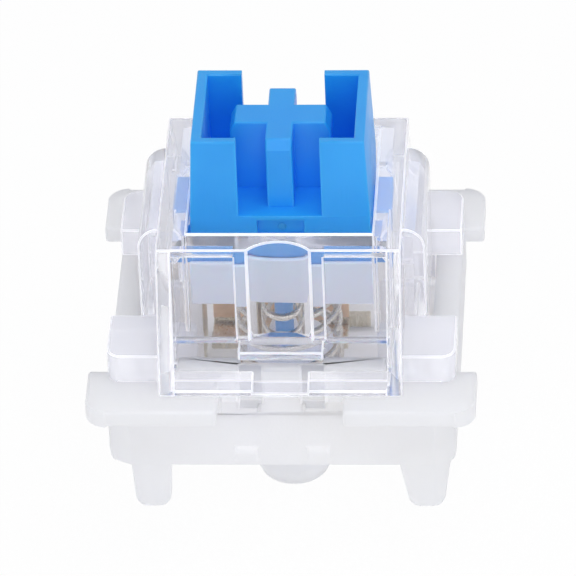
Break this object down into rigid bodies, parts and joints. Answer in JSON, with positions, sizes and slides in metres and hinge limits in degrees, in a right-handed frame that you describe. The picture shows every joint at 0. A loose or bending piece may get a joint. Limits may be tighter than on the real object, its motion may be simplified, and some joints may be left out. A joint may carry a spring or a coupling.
{
  "type": "mechanical keyboard switch",
  "caption": "Clicky mechanical keyboard switch with a blue dust-walled stem, a clear top housing with a lens groove and a milky white bottom housing.",
  "frame": {"origin": "on the circuit board's face, at the axis of the centre post", "axes": "+Z towards the keycap, -Y towards the lens groove, +X to the right seen from the lens side"},
  "size_m": [0.0156, 0.0156, 0.0185],
  "materials": {
    "nylon_white": "milky moulded nylon, satin",
    "clear_polycarbonate": "clear moulded polycarbonate, polished",
    "acetal_blue": "moulded acetal, satin",
    "acetal_white": "moulded acetal, satin",
    "spring_steel": "drawn wire",
    "leaf_bronze": "rolled phosphor bronze",
    "terminal_brass": "stamped, tinned at the pins",
    "contact_gold": "gold plated"
  },
  "bodies": {
    "housing": {"bottom_housing": "nylon_white", "top_housing": "clear_polycarbonate", "return_spring": "spring_steel", "leaf_rivets": "leaf_bronze", "leaf_terminal": "terminal_brass", "fixed_terminal": "terminal_brass", "fixed_contact_tip": "contact_gold"},
    "slider": {"stem": "acetal_blue"},
    "jacket": {"click_jacket": "acetal_white"},
    "leaf": {"contact_leaf": "leaf_bronze", "moving_contact_tip": "contact_gold"}
  },
  "joints": [
    {"name": "stem_slide", "type": "slide", "parent": "housing", "child": "slider", "axis": [0, 0, -1], "range_m": [0, 0.004], "stiffness_N_per_m": 100, "springref_m": -0.002, "deforming": ["return_spring"]},
    {"name": "jacket_play", "type": "slide", "parent": "slider", "child": "jacket", "axis": [0, 0, 1], "range_m": [0, 0.0006]},
    {"name": "leaf_flex", "type": "hinge", "parent": "housing", "child": "leaf", "pos_m": [0, 0.00481, 0.00195], "axis": [1, 0, 0], "range_deg": [0, 5.68]}
  ],
  "couplings": [
    {"joint": "leaf_flex", "follows": "stem_slide", "rad_per_m": 24.64}
  ]
}
